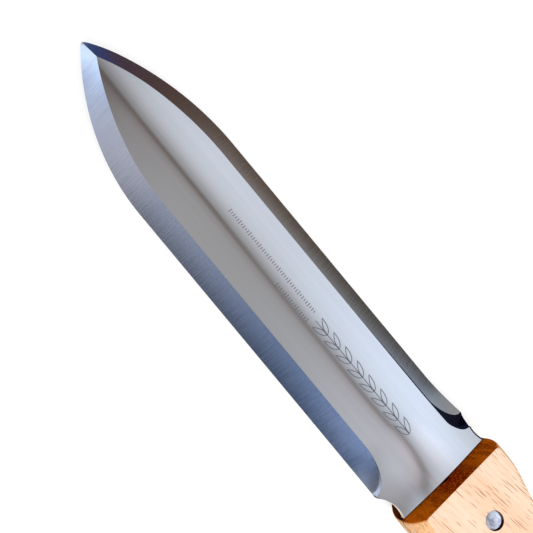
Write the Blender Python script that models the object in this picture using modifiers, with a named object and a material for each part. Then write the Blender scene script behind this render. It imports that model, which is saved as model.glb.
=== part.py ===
"""A hori hori garden knife: a double-edged blade pressed from steel sheet, and a two-piece wooden handle.

The knife lies on the flat back of its handle. The origin is the centre of that flat face, +Y points
to the blade's tip and +Z points up, out of the blade's convex side. Dimensions are in millimetres, and
every mesh is scaled to metres as it is made.
"""

import math

import bmesh
import bpy
from mathutils import Matrix, Vector

MM = 0.001

# Overall sizes
BLADE_LENGTH = 184.5  # from the tip to the handle's front face
HANDLE_LENGTH = 127.0
SHEET = 2.8  # thickness of the steel
FRONT_SCALE = 12.4  # thickness of the handle half above the tang
BACK_SCALE = 16.0  # thickness of the half below it, which fills the palm
GAP = 0.3  # clearance between pieces, and the width of the glue line

FRONT_Y = HANDLE_LENGTH / 2
TIP_Y = FRONT_Y + BLADE_LENGTH
TANG_Z = BACK_SCALE + SHEET / 2  # height of the tang's middle plane

# The blade's cross-section: a round ridge between two straight flanks
BLADE_HALF = 20.2
RIDGE_RADIUS = 20.0
FLANK_ANGLE = math.radians(26)
RIDGE_RISE = 1.4  # how far the ridge stands above the tang
TIP_DROP = 0.8  # how far the ridge has come down again at the tip
TIP_DROP_LENGTH = 30.0
DISH_FADE = (BLADE_LENGTH - 26.0, BLADE_LENGTH + 9.0)  # stations where the dish flattens into the tang
EDGE = 0.25  # thickness left at the cutting edge
HEEL_FLARE = 1.3  # the sheet would be this much wider to each side where its dish is flat

# The blade's outline, with stations measured back from the tip
POINT_LENGTH = 55.0
TIP_CUT = 0.6  # the arch's sharp corner would stand this far beyond the rounded tip
TIP_RADIUS = 0.6
HEEL = BLADE_LENGTH - 9.5
NECK_HALF = 18.0
NECK = BLADE_LENGTH - 3.0
SHOULDER = BLADE_LENGTH + 2.0
TANG_HALF = 11.0
TANG_START = BLADE_LENGTH + 9.0
TANG_LENGTH = 116.0
CHAMFER = 0.3  # on the edges that aren't sharpened

# The bevels, ground on the convex side along both edges
BEVEL_HALF = 13.1  # from the middle of the blade to the top of the bevel
BEVEL_TIP = 7.6  # station where the two bevels meet
BEVEL_POINT_LENGTH = 57.0
TIP_CREST = 0.1  # half width of the crest ahead of that station, as a share of the blade's
# Stations where the grind and the wall behind it leave the straight line, and where they reach the edge
LEFT_GRIND = (BLADE_LENGTH - 25.8, BLADE_LENGTH - 10.8)
LEFT_WALL = (BLADE_LENGTH - 25.5, BLADE_LENGTH - 9.8)
RIGHT_GRIND = (BLADE_LENGTH - 27.1, BLADE_LENGTH - 9.8)
RIGHT_WALL = (BLADE_LENGTH - 12.5, BLADE_LENGTH - 5.6)
STRIP = 0.06  # least width between the grind's end and the wall's top

# The handle's outline as (distance behind the front face, half width)
HANDLE_OUTLINE = (
    (0, 20.0),
    (7, 20.0),
    (12, 19.4),
    (20, 17.0),
    (27, 16.2),
    (72, 18.8),
    (102, 17.4),
    (120, 18.8),
)
FRONT_CORNER = 1.6
BUTT_LENGTH = 10.0  # length of the rounded end
BUTT_POWER = 0.6  # below 1, it makes that end blunter than an ellipse
FRONT_BARREL = 22.0  # radius of the front half's sides, seen from the handle's end
BACK_BARREL = 32.0
BARREL_START = 1.5  # distance from the glue line where the sides begin to curve in
TOP_ROUND = 0.8

# The two rivets, each a pin pressed into a sleeve from the other side
RIVET_DISTANCES = {"front": 15.7, "rear": 104.0}  # behind the handle's front face
HEAD_RADIUS = 2.9
HEAD_THICKNESS = 1.8
HEAD_DOME = 0.35
HEAD_DEPTH = 1.3  # the head's rim lies this far under the wood
COUNTERBORE_RADIUS = 3.05
PIN_RADIUS = 1.3
SLEEVE_BORE = 1.6
SLEEVE_RADIUS = 2.4
RIVET_HOLE_RADIUS = 2.7

# Detail of the meshes
ACROSS = 16  # segments across the blade
POCKET_STEPS = 12  # segments across the pocket that the handle leaves for the tang
OUTLINE_STEP = 3.0
TURNED_STEPS = 32


def roof(x):
    """(drop below the ridge, slope) of the blade's middle surface."""
    x = abs(x)
    arc_end = RIDGE_RADIUS * math.sin(FLANK_ANGLE)
    if x < arc_end:
        height = math.sqrt(RIDGE_RADIUS**2 - x**2)
        return RIDGE_RADIUS - height, x / height
    drop = RIDGE_RADIUS * (1 - math.cos(FLANK_ANGLE))
    slope = math.tan(FLANK_ANGLE)
    return drop + (x - arc_end) * slope, slope


def smooth(value, low, high):
    share = min(max((value - low) / (high - low), 0), 1)
    return share * share * (3 - 2 * share)


def dish(station):
    """1 where the blade has its full section, falling to 0 at the flat tang."""
    return 1 - smooth(station, *DISH_FADE)


def sheet_heights(x, station):
    """Heights of the sheet's back and front surfaces."""
    drop, slope = roof(x)
    depth = dish(station)
    tip_share = max(1 - station / TIP_DROP_LENGTH, 0)
    middle = TANG_Z + depth * (RIDGE_RISE - drop) - TIP_DROP * tip_share**2
    half = SHEET / 2 * math.hypot(1, depth * slope)
    return middle - half, middle + half


def ogive(station, start, length, half):
    """Half width of a pointed arch that starts at a station and is parallel beyond a length."""
    if station >= length:
        return half
    reach = length - start
    radius = (reach**2 + half**2) / (2 * half)
    return max(half - radius + math.sqrt(radius**2 - (length - station) ** 2), 0)


def blade_half(station):
    """Half width of the blade, its neck and its tang."""
    if station <= HEEL:
        half = ogive(station, -TIP_CUT, POINT_LENGTH, BLADE_HALF)
        if station < TIP_RADIUS:
            half = min(half, math.sqrt(2 * TIP_RADIUS * station - station**2))
        return half + HEEL_FLARE * (1 - dish(station))
    step = BLADE_HALF + HEEL_FLARE * (1 - dish(HEEL)) - NECK_HALF
    radius = ((NECK - HEEL) ** 2 + step**2) / (2 * step)
    neck = NECK_HALF + radius - math.sqrt(radius**2 - (min(station, SHOULDER) - NECK) ** 2)
    return neck + (TANG_HALF - neck) * smooth(station, SHOULDER, TANG_START)


def bevel_half(station):
    """Half width of the part between the bevels."""
    return ogive(station, BEVEL_TIP, BEVEL_POINT_LENGTH, BEVEL_HALF)


def quarter_arc(station, ends):
    """0 before the first end, 1 after the second, and a quarter of an ellipse between them."""
    share = min(max((station - ends[0]) / (ends[1] - ends[0]), 0), 1)
    return 1 - math.sqrt(1 - share**2)


def bevel_side(station, grind, wall):
    """Section points of one bevel on the +X side, from the cutting edge up to the front surface."""
    half = blade_half(station)
    top_x = bevel_half(station)
    back, front = sheet_heights(half, station)
    top = sheet_heights(top_x, station)[1]
    edge_z = back + EDGE

    wall_x = top_x + (half - CHAMFER - top_x) * quarter_arc(station, wall)
    grind_x = top_x + (half - STRIP - top_x) * quarter_arc(station, grind)
    grind_x = max(grind_x, wall_x + STRIP)
    grind_z = edge_z + (top - edge_z) * (half - grind_x) / max(half - top_x, STRIP)
    if station > grind[1]:
        raised = smooth(station, grind[1], wall[1])
        edge_z += (front - CHAMFER - edge_z) * raised
        grind_z += (front - CHAMFER / 2 - grind_z) * raised
    wall_z = sheet_heights(wall_x, station)[1]
    return [(half, back), (half, edge_z), (grind_x, grind_z), (wall_x, wall_z)]


def tip_side(station):
    """The same points ahead of the station where the bevels meet, with a narrow crest between them."""
    half = blade_half(station)
    crest = half * TIP_CREST
    back = sheet_heights(half, station)[0]
    rise = sheet_heights(0, BEVEL_TIP)[1] - back - EDGE
    edge_z = back + EDGE
    top = edge_z + rise * station / BEVEL_TIP
    below_x = 2 * crest
    below_z = edge_z + (top - edge_z) * (half - below_x) / (half - crest)
    return [(half, back), (half, edge_z), (below_x, below_z), (crest, top)]


def blade_section(station):
    """One closed ring of the blade as (x, z) points: the back from left to right, then the front."""
    ahead = station <= BEVEL_TIP
    if ahead:
        right = left = tip_side(station)
    else:
        right = bevel_side(station, RIGHT_GRIND, RIGHT_WALL)
        left = bevel_side(station, LEFT_GRIND, LEFT_WALL)
    half = right[0][0]
    ring = []
    for step in range(ACROSS + 1):
        x = half * (2 * step / ACROSS - 1)
        ring.append((x, sheet_heights(x, station)[0]))
    ring += right[1:]
    (right_x, top), (left_x, _) = right[-1], left[-1]
    for step in range(1, ACROSS):
        x = right_x - (right_x + left_x) * step / ACROSS
        ring.append((x, top if ahead else sheet_heights(x, station)[1]))
    ring += [(-x, z) for x, z in reversed(left[1:])]
    return ring


def blade_stations():
    """Stations of the blade's sections, close together where its outline or its bevels turn."""
    stations = [0.05, 0.3, TIP_RADIUS, 2.0, 4.0, 6.0, BEVEL_TIP]
    stations += [BEVEL_TIP + 0.6, 10.0, 12.5]
    stations += [16.0 + 4.0 * i for i in range(12)]
    stations += [72.0, 100.0, 130.0, 150.0]
    stations += [BLADE_LENGTH - 28.0 + 2.0 * i for i in range(9)]
    stations += [BLADE_LENGTH - 11.0, LEFT_GRIND[1], HEEL]
    stations += [HEEL + 0.8 * i for i in range(1, 5)]
    stations += [HEEL + 4.2 + 1.5 * i for i in range(6)]
    stations += [SHOULDER + 1.4 * i for i in range(1, 5)]
    stations += [TANG_START, BLADE_LENGTH + 60.0, BLADE_LENGTH + TANG_LENGTH]
    return stations


def material(name, colour, roughness, metallic):
    made = bpy.data.materials.new(name)
    made.use_nodes = True
    shader = made.node_tree.nodes["Principled BSDF"]
    shader.inputs["Base Color"].default_value = (*colour, 1)
    shader.inputs["Roughness"].default_value = roughness
    shader.inputs["Metallic"].default_value = metallic
    return made


def add_object(name, mesh, collection, finish=None):
    made = bpy.data.objects.new(name, mesh)
    collection.objects.link(made)
    if finish:
        mesh.materials.append(finish)
    return made


def add_cutter(name, mesh, collection):
    cutter = add_object(name, mesh, collection)
    cutter.hide_render = True
    cutter.display_type = "WIRE"
    return cutter


def loft(name, rings):
    """A closed mesh through rings of points in millimetres, with a face on each end."""
    shape = bmesh.new()
    made = [[shape.verts.new(Vector(point) * MM) for point in ring] for ring in rings]
    for first, second in zip(made, made[1:]):
        for i in range(len(first)):
            j = (i + 1) % len(first)
            shape.faces.new((first[i], first[j], second[j], second[i]))
    shape.faces.new(made[0])
    shape.faces.new(made[-1])
    bmesh.ops.recalc_face_normals(shape, faces=shape.faces)
    mesh = bpy.data.meshes.new(name)
    shape.to_mesh(mesh)
    shape.free()
    mesh.shade_smooth()
    mesh.set_sharp_from_angle(angle=math.radians(25))
    return mesh


def rod(name, radius, low_z, high_z):
    """A plain upright cylinder mesh, for a cutter."""
    shape = bmesh.new()
    bmesh.ops.create_cone(
        shape,
        cap_ends=True,
        segments=TURNED_STEPS,
        radius1=radius * MM,
        radius2=radius * MM,
        depth=(high_z - low_z) * MM,
        matrix=Matrix.Translation((0, 0, (low_z + high_z) / 2 * MM)),
    )
    mesh = bpy.data.meshes.new(name)
    shape.to_mesh(mesh)
    shape.free()
    return mesh


def cut(target, cutter):
    boolean = target.modifiers.new("cut_" + cutter.name, "BOOLEAN")
    boolean.operation = "DIFFERENCE"
    boolean.solver = "EXACT"
    boolean.object = cutter


def make_blade(parts, steel):
    rings = []
    for station in blade_stations():
        rings.append([(x, TIP_Y - station, z) for x, z in blade_section(station)])
    return add_object("blade", loft("blade", rings), parts, steel)


def outline_half(distance):
    """Half width of the handle at a distance behind its front face, eased between the points."""
    points = HANDLE_OUTLINE
    last = len(points) - 1
    for i in range(last):
        (start, a), (end, b) = points[i], points[i + 1]
        if distance <= end:
            break
    before = points[max(i - 1, 0)]
    after = points[min(i + 2, last)]
    span = end - start
    slope_a = (b - before[1]) / (end - before[0])
    slope_b = (after[1] - a) / (after[0] - start)
    t = min((distance - start) / span, 1)
    value = a * (2 * t**3 - 3 * t**2 + 1) + b * (3 * t**2 - 2 * t**3)
    return value + span * (slope_a * (t**3 - 2 * t**2 + t) + slope_b * (t**3 - t**2))


def handle_side():
    """The handle's plan outline on the +X side as (half width, distance), from front face to butt."""
    points = []
    for step in range(4):
        angle = step / 3 * math.pi / 2
        distance = FRONT_CORNER * (1 - math.cos(angle))
        points.append((outline_half(distance) - FRONT_CORNER * (1 - math.sin(angle)), distance))
    straight_end = HANDLE_LENGTH - BUTT_LENGTH
    count = round((straight_end - FRONT_CORNER) / OUTLINE_STEP)
    for step in range(1, count + 1):
        distance = FRONT_CORNER + (straight_end - FRONT_CORNER) * step / count
        points.append((outline_half(distance), distance))
    end_half = outline_half(straight_end)
    for step in range(1, 9):
        angle = step / 9 * math.pi / 2
        half = end_half * math.cos(angle) ** BUTT_POWER
        points.append((half, straight_end + BUTT_LENGTH * math.sin(angle)))
    return points


def barrel_inset(height, radius):
    """How far the handle's side has curved in at a height above the glue line."""
    above = max(height - BARREL_START, 0)
    return radius - math.sqrt(radius**2 - above**2)


def make_scale(name, parts, wood, side):
    """One half of the handle: side is 1 above the tang and -1 below it."""
    outline = handle_side()
    widest = max(half for half, distance in outline)
    thickness, radius = (FRONT_SCALE, FRONT_BARREL) if side > 0 else (BACK_SCALE, BACK_BARREL)
    face = thickness + SHEET / 2
    straight = face - TOP_ROUND
    count = 6
    heights = [BARREL_START + (straight - BARREL_START) * step / count for step in range(count + 1)]
    layers = [(height, barrel_inset(height, radius)) for height in [GAP / 2, *heights]]
    inset = layers[-1][1]
    layers.append((face - TOP_ROUND * 0.3, inset + TOP_ROUND * 0.7))
    layers.append((face, inset + TOP_ROUND * 1.5))
    rings = []
    for height, inset in layers:
        across = 1 - inset / widest
        along = 1 - inset / HANDLE_LENGTH
        right = [(half * across, FRONT_Y - distance * along) for half, distance in outline]
        left = [(-x, y) for x, y in reversed(right)]
        butt = [(0, FRONT_Y - HANDLE_LENGTH * along)]
        rings.append([(x, y, TANG_Z + side * height) for x, y in right + butt + left])
    return add_object(name, loft(name, rings), parts, wood)


def tang_cutter(helpers):
    """The pocket that the two handle halves leave for the tang."""
    rings = []
    stations = [BLADE_LENGTH - 5.0, BLADE_LENGTH]
    stations += [SHOULDER + 1.4 * i for i in range(6)]
    stations += [BLADE_LENGTH + TANG_LENGTH + GAP]
    for station in stations:
        cut_at = max(station, BLADE_LENGTH)
        half = blade_half(cut_at) + GAP
        back, front = [], []
        for step in range(POCKET_STEPS + 1):
            x = half * (2 * step / POCKET_STEPS - 1)
            low, high = sheet_heights(x, cut_at)
            back.append((x, TIP_Y - station, low - GAP))
            front.append((x, TIP_Y - station, high + GAP))
        rings.append(back + front[::-1])
    return add_cutter("tang_cutter", loft("tang_cutter", rings), helpers)


def turned(name, profile, parts, finish):
    """A solid turned about Z from a profile of (radius, height) points that runs down its outer side."""
    shape = bmesh.new()
    points = [shape.verts.new((radius * MM, 0, height * MM)) for radius, height in profile]
    for first, second in zip(points, points[1:]):
        shape.edges.new((first, second))
    mesh = bpy.data.meshes.new(name)
    shape.to_mesh(mesh)
    shape.free()
    made = add_object(name, mesh, parts, finish)
    screw = made.modifiers.new("turn", "SCREW")
    screw.axis = "Z"
    screw.steps = TURNED_STEPS
    screw.render_steps = TURNED_STEPS
    screw.use_merge_vertices = True
    screw.merge_threshold = 0.00001
    screw.use_smooth_shade = True
    return made


def head_profile(rim_z):
    """The domed head's outline, from its crown down to its underside."""
    points = []
    for step in range(5):
        share = step / 4
        points.append((HEAD_RADIUS * share * 0.93, rim_z + HEAD_DOME * (1 - share**2)))
    points.append((HEAD_RADIUS, rim_z - HEAD_DOME * 0.6))
    points.append((HEAD_RADIUS, rim_z - HEAD_THICKNESS))
    return points


def head_rim(thickness):
    """Distance from the tang's middle to the rim of the rivet head sunk in a handle half."""
    return thickness + SHEET / 2 - HEAD_DEPTH


def make_rivet(place, distance, parts, steel):
    """Pin from the front of the knife, sleeve from its back. Both are turned about the rivet's middle."""
    pin_rim = head_rim(FRONT_SCALE)
    sleeve_rim = head_rim(BACK_SCALE)
    pin_under = pin_rim - HEAD_THICKNESS
    sleeve_under = sleeve_rim - HEAD_THICKNESS
    pin_end = GAP - sleeve_under
    sleeve_end = GAP - pin_under
    pin = head_profile(pin_rim) + [(PIN_RADIUS, pin_under), (PIN_RADIUS, pin_end), (0, pin_end)]
    sleeve = head_profile(sleeve_rim)
    sleeve += [(SLEEVE_RADIUS, sleeve_under), (SLEEVE_RADIUS, sleeve_end)]
    sleeve += [(SLEEVE_BORE, sleeve_end), (SLEEVE_BORE, sleeve_under), (0, sleeve_under)]
    centre = (0, (FRONT_Y - distance) * MM, TANG_Z * MM)
    pin_object = turned(place + "_rivet_pin", pin, parts, steel)
    pin_object.location = centre
    sleeve_object = turned(place + "_rivet_sleeve", sleeve, parts, steel)
    sleeve_object.location = centre
    sleeve_object.rotation_euler = (math.pi, 0, 0)


def drill(place, distance, blade, front_scale, back_scale, helpers):
    """The rivet's hole through the knife, and the counterbore for its head in each handle half."""
    centre = (0, (FRONT_Y - distance) * MM, TANG_Z * MM)
    reach = TANG_Z + 5.0
    cutters = [("hole", RIVET_HOLE_RADIUS, -reach, reach, (blade, front_scale, back_scale))]
    front_seat = head_rim(FRONT_SCALE) - HEAD_THICKNESS - GAP
    cutters.append(("front_counterbore", COUNTERBORE_RADIUS, front_seat, reach, (front_scale,)))
    back_seat = head_rim(BACK_SCALE) - HEAD_THICKNESS - GAP
    cutters.append(("back_counterbore", COUNTERBORE_RADIUS, -reach, -back_seat, (back_scale,)))
    for kind, radius, low, high, targets in cutters:
        name = place + "_" + kind
        cutter = add_cutter(name, rod(name, radius, low, high), helpers)
        cutter.location = centre
        for target in targets:
            cut(target, cutter)


def main():
    for old in list(bpy.data.objects):
        bpy.data.objects.remove(old)
    parts = bpy.data.collections.new("hori_hori_knife")
    helpers = bpy.data.collections.new("cutters")
    bpy.context.scene.collection.children.link(parts)
    bpy.context.scene.collection.children.link(helpers)
    steel = material("polished_steel", (0.62, 0.64, 0.67), 0.12, 1.0)
    wood = material("beech", (0.88, 0.62, 0.38), 0.45, 0.0)
    rivet_steel = material("rivet_steel", (0.45, 0.48, 0.54), 0.3, 1.0)

    blade = make_blade(parts, steel)
    front_scale = make_scale("front_scale", parts, wood, 1)
    back_scale = make_scale("back_scale", parts, wood, -1)
    pocket = tang_cutter(helpers)
    for scale in (front_scale, back_scale):
        cut(scale, pocket)
    for place, distance in RIVET_DISTANCES.items():
        drill(place, distance, blade, front_scale, back_scale, helpers)
        make_rivet(place, distance, parts, rivet_steel)


main()
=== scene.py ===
"""Looks of the hori hori knife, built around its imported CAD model.

Lengths are in millimetres in the model's own frame, and meshes are scaled to metres as they are made.
A station is a distance back from the blade's tip. Left and right are the -X and +X sides.
"""

import math

import bmesh
import bpy
from mathutils import Matrix, Vector


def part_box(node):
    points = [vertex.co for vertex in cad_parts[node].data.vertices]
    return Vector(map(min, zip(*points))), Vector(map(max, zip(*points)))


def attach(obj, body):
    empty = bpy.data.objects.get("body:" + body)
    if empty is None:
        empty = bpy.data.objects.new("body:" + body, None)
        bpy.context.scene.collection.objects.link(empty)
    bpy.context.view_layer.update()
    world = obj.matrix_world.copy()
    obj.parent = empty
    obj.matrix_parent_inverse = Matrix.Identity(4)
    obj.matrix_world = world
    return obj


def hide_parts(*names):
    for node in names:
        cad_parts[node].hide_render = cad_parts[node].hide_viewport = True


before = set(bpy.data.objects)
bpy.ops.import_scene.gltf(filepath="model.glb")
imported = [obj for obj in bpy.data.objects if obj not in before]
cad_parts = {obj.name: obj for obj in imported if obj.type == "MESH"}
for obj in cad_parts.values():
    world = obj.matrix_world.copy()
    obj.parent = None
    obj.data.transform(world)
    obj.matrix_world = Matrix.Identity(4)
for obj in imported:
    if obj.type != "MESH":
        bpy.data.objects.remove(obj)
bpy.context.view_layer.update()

MM = 0.001


def box_mm(node):
    low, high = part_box(node)
    return low / MM, high / MM


BLADE_LOW, BLADE_HIGH = box_mm("blade")
FRONT_LOW, FRONT_HIGH = box_mm("front_scale")
BACK_LOW, BACK_HIGH = box_mm("back_scale")
TIP_Y = BLADE_HIGH.y
FRONT_Y = FRONT_HIGH.y  # the handle's front face
TANG_Z = (FRONT_LOW.z + BACK_HIGH.z) / 2  # the glue line between the handle's halves
BLADE_LENGTH = TIP_Y - FRONT_Y
TANG_END = TIP_Y - BLADE_LOW.y
HANDLE_LENGTH = FRONT_Y - FRONT_LOW.y
SHEET = 2.8  # thickness of the blade's steel
GAP = 0.3  # clearance between pieces

# The blade's cross-section
BLADE_HALF = 20.2
RIDGE_RADIUS = 20.0  # of the rounded ridge, which runs out into straight flanks
FLANK_ANGLE = math.radians(26)
RIDGE_RISE = 1.4  # of the ridge above the tang
TIP_DROP = 0.8  # how far the point bends down, over the length below
TIP_DROP_LENGTH = 30.0
DISH_FADE = (BLADE_LENGTH - 26.0, BLADE_LENGTH + 9.0)  # stations where the dish flattens into the tang
HEEL_FLARE = 1.3  # how much wider each side grows as the dish flattens
EDGE = 0.14  # thickness of the sharpened edge

# The blade's outline
POINT_LENGTH = 55.0
TIP_CUT = 0.6  # length cut off the arch's own point, where the tip is round instead
TIP_RADIUS = 0.6
HEEL = BLADE_LENGTH - 9.5  # station where the cutting edges end
NECK_HALF = 18.0
NECK = BLADE_LENGTH - 3.0  # station where the neck is narrowest
SHOULDER = BLADE_LENGTH + 2.0  # station where the neck begins to narrow to the tang
TANG_HALF = 11.0
TANG_START = BLADE_LENGTH + 9.0
CHAMFER = 0.2

# The ground bevels, and the wall left behind each grind
BEVEL_HALF = 13.1  # from the middle of the blade to a bevel's top
BEVEL_TIP = 7.6  # station ahead of which the two bevels meet in a crest
BEVEL_POINT_LENGTH = 57.0
CREST = 0.02  # half width of the crest ahead of that station
CREST_ARCH = 0.15  # how much faster than a straight line the crest rises at the tip
# Stations between which a bevel's grind and the wall above it curve out to the edge
LEFT_GRIND = (BLADE_LENGTH - 25.8, BLADE_LENGTH - 10.8)
LEFT_WALL = (BLADE_LENGTH - 25.7, BLADE_LENGTH - 10.4)
RIGHT_GRIND = (BLADE_LENGTH - 27.1, BLADE_LENGTH - 9.8)
RIGHT_WALL = (BLADE_LENGTH - 12.5, BLADE_LENGTH - 5.6)
STRIP = 0.04  # least width of a wall
CROWN = 0.08  # how far the middle of a bevel stands above a straight line
LEDGE = 0.5  # width of the narrow step that leads up to the right wall
LEDGE_START = BLADE_LENGTH - 65.0

# Detail of the blade's mesh
BACK_STEPS = 48
BEVEL_STEPS = 8
WALL_STEPS = 6
FRONT_STEPS = 72
POCKET_STEPS = 24

# The engraving, as stations and places across the blade
LINE_WIDTH = 0.28
LINE_RISE = 0.012  # how far a line stands out of the steel
LINE_DEPTH = 0.03  # how far it reaches into the steel
SPRIG = (118.0, 165.5)
SPRIG_X = -0.2
STEM_GAP = 0.25  # from the stem to the foot of a leaf
LEAF_PAIRS = 8
LEAF_LENGTH = 5.6
LEAF_WIDTH = 1.5
LEAF_ANGLE = math.radians(21)
LEAF_FULLNESS = 0.8  # below 1, a leaf is widest nearer to its foot
LEAF_STEPS = 10
TICK_ROWS = (((73.0, 116.5), 1.4), ((101.0, 117.0), -2.3))  # (stations, place across)
TICK_SPACING = 1.0
TICK_LENGTHS = (1.6, 0.9, 1.2, 0.9, 1.2)

# The handle, with its outline as (distance behind the front face, half width)
HANDLE_OUTLINE = (
    (0, 20.0),
    (7, 20.0),
    (12, 19.4),
    (20, 17.0),
    (27, 16.2),
    (72, 18.8),
    (102, 17.4),
    (120, 18.8),
)
FRONT_CORNER = 1.6
BUTT_LENGTH = 10.0
BUTT_POWER = 0.6  # below 1, for a butt that is squarer than an ellipse
BARREL_START = 1.5  # height above the glue line where the sides begin to curve in
FRONT_BARREL = 22.0  # radius of that curve on the front half
BACK_BARREL = 32.0
SIDE_ROUND = 1.2
END_ROUND = 0.35
SEAM_ROUND = 0.12
SEAM_STEPS = 3
ROUND_STEPS = 8
BUTT_STEPS = 32

# The rivets
HEAD_RADIUS = 2.9
HEAD_THICKNESS = 1.8
HEAD_DOME = 0.35
DOME_SHARE = 0.94  # of the head's radius
DOME_STEPS = 8
HEAD_RIM = ((0.985, 0.06), (1.0, 0.2))  # (share of the head's radius, depth below the dome)
HEAD_DEPTH = 1.3  # below the wood's face
COUNTERBORE_RADIUS = 3.05
PIN_RADIUS = 1.3
SLEEVE_BORE = 1.6
SLEEVE_RADIUS = 2.4
RIVET_HOLE_RADIUS = 2.7
TURNED_STEPS = 72
CUTTER_REACH = TANG_Z + 5.0  # from the glue line past the faces of the handle


# --- Shapes that follow a rule ---


def smooth(value, low, high):
    """0 below low and 1 above high, with an ease between them."""
    share = min(max((value - low) / (high - low), 0), 1)
    return share * share * (3 - 2 * share)


def roof(x):
    """(drop below the ridge, slope) of the sheet's middle surface."""
    x = abs(x)
    arc_end = RIDGE_RADIUS * math.sin(FLANK_ANGLE)
    if x < arc_end:
        height = math.sqrt(RIDGE_RADIUS**2 - x**2)
        return RIDGE_RADIUS - height, x / height
    drop = RIDGE_RADIUS * (1 - math.cos(FLANK_ANGLE))
    slope = math.tan(FLANK_ANGLE)
    return drop + (x - arc_end) * slope, slope


def dish(station):
    """1 where the blade has its full section, falling to 0 at the flat tang."""
    return 1 - smooth(station, *DISH_FADE)


def sheet_heights(x, station):
    """Heights of the sheet's back and front surfaces."""
    drop, slope = roof(x)
    depth = dish(station)
    tip_share = max(1 - station / TIP_DROP_LENGTH, 0)
    middle = TANG_Z + depth * (RIDGE_RISE - drop) - TIP_DROP * tip_share**2
    half = SHEET / 2 * math.hypot(1, depth * slope)
    return middle - half, middle + half


def ogive(station, start, length, half):
    """Half width of a pointed arch that starts at a station and is parallel beyond a length."""
    if station >= length:
        return half
    reach = length - start
    radius = (reach**2 + half**2) / (2 * half)
    return max(half - radius + math.sqrt(radius**2 - (length - station) ** 2), 0)


def blade_half(station):
    """Half width of the blade, its neck and its tang."""
    if station <= HEEL:
        half = ogive(station, -TIP_CUT, POINT_LENGTH, BLADE_HALF)
        if station < TIP_RADIUS:
            half = min(half, math.sqrt(2 * TIP_RADIUS * station - station**2))
        return half + HEEL_FLARE * (1 - dish(station))
    step = BLADE_HALF + HEEL_FLARE * (1 - dish(HEEL)) - NECK_HALF
    radius = ((NECK - HEEL) ** 2 + step**2) / (2 * step)
    neck = NECK_HALF + radius - math.sqrt(radius**2 - (min(station, SHOULDER) - NECK) ** 2)
    return neck + (TANG_HALF - neck) * smooth(station, SHOULDER, TANG_START)


def quarter_arc(station, ends):
    """0 before the first end, 1 after the second, and a quarter of an ellipse between them."""
    share = min(max((station - ends[0]) / (ends[1] - ends[0]), 0), 1)
    return 1 - math.sqrt(1 - share**2)


def between(start, end, steps, crown=0.0):
    """Points after start up to end, standing above the straight line by crown in the middle."""
    points = []
    for step in range(1, steps + 1):
        share = step / steps
        x = start[0] + (end[0] - start[0]) * share
        z = start[1] + (end[1] - start[1]) * share
        points.append((x, z + crown * 4 * share * (1 - share)))
    return points


def bevel_side(station, grind, wall, ledge):
    """Section points of one bevel on the +X side, from the back of the edge to the sheet's front surface."""
    half = blade_half(station)
    back, front = sheet_heights(half, station)
    edge = (half, back + EDGE)
    if station <= BEVEL_TIP:
        meeting = sheet_heights(0, BEVEL_TIP)[1]
        share = station / BEVEL_TIP
        rise = share * (1 + CREST_ARCH * (1 - share))
        top = (CREST, edge[1] + (meeting - edge[1]) * rise)
        below = (2 * CREST, top[1] - (top[1] - edge[1]) * CREST / half)
        crown = CROWN * station / BEVEL_TIP
        bevel = between(edge, below, BEVEL_STEPS, crown)
        return [(half, back), edge, *bevel, *between(below, top, WALL_STEPS)]
    top_x = max(ogive(station, BEVEL_TIP, BEVEL_POINT_LENGTH, BEVEL_HALF), CREST)
    top_z = sheet_heights(top_x, station)[1]
    wall_x = top_x + (half - CHAMFER - top_x) * quarter_arc(station, wall)
    grind_x = top_x + (half - STRIP - top_x) * quarter_arc(station, grind)
    grind_x = max(grind_x, wall_x + STRIP + ledge * smooth(station, LEDGE_START, grind[0]))
    grind_z = edge[1] + (top_z - edge[1]) * (half - grind_x) / (half - top_x)
    crown = CROWN * (half - grind_x) / (half - top_x)
    if station > grind[1]:
        raised = smooth(station, grind[1], wall[1])
        edge = (half, edge[1] + (front - CHAMFER - edge[1]) * raised)
        grind_z += (front - CHAMFER / 2 - grind_z) * raised
    grind_end = (grind_x, grind_z)
    wall_top = (wall_x, sheet_heights(wall_x, station)[1])
    bevel = between(edge, grind_end, BEVEL_STEPS, crown)
    return [(half, back), edge, *bevel, *between(grind_end, wall_top, WALL_STEPS)]


def blade_section(station):
    """One closed ring of the blade as (x, z) points: the back from left to right, then the front."""
    right = bevel_side(station, RIGHT_GRIND, RIGHT_WALL, LEDGE)
    left = bevel_side(station, LEFT_GRIND, LEFT_WALL, 0)
    half = right[0][0]
    ring = []
    for step in range(BACK_STEPS + 1):
        x = half * (2 * step / BACK_STEPS - 1)
        ring.append((x, sheet_heights(x, station)[0]))
    ring += right[1:]
    right_x, top = right[-1]
    left_x = left[-1][0]
    for step in range(1, FRONT_STEPS):
        x = right_x - (right_x + left_x) * step / FRONT_STEPS
        ring.append((x, top if station <= BEVEL_TIP else sheet_heights(x, station)[1]))
    return ring + [(-x, z) for x, z in reversed(left[1:])]


def steps_between(start, end, spacing):
    """Even steps from start, about a spacing apart, that stop one short of end."""
    count = max(round((end - start) / spacing), 1)
    return [start + (end - start) * step / count for step in range(count)]


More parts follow.
